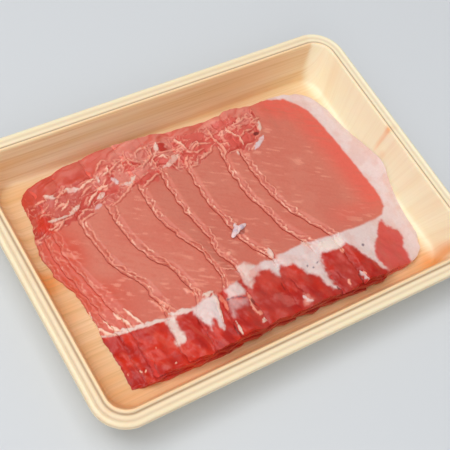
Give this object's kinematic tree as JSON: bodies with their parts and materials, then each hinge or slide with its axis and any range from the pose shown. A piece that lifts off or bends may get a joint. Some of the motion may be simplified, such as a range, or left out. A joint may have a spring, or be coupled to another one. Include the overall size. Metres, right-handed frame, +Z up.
{
  "type": "sliced meat tray pack",
  "caption": "Shallow foam tray with a rolled rim, filled with a shingled row of thin raw pork loin slices with a fat edge and a small loose scrap of fat.",
  "frame": {"origin": "middle of the tray's flat underside", "axes": "+X along the tray towards the fat edge of the slices, +Y across the tray towards its far side, +Z up"},
  "size_m": [0.204, 0.147, 0.0226],
  "materials": {
    "foam": "satin",
    "meat": "satin",
    "fat": "satin"
  },
  "bodies": {
    "root": {"tray": "foam", "slice_1": "meat", "slice_2": "meat", "slice_3": "meat", "slice_4": "meat", "slice_5": "meat", "slice_6": "meat", "slice_7": "meat", "slice_8": "meat", "slice_9": "meat", "slice_10": "meat", "fat_scrap": "fat"}
  },
  "joints": []
}
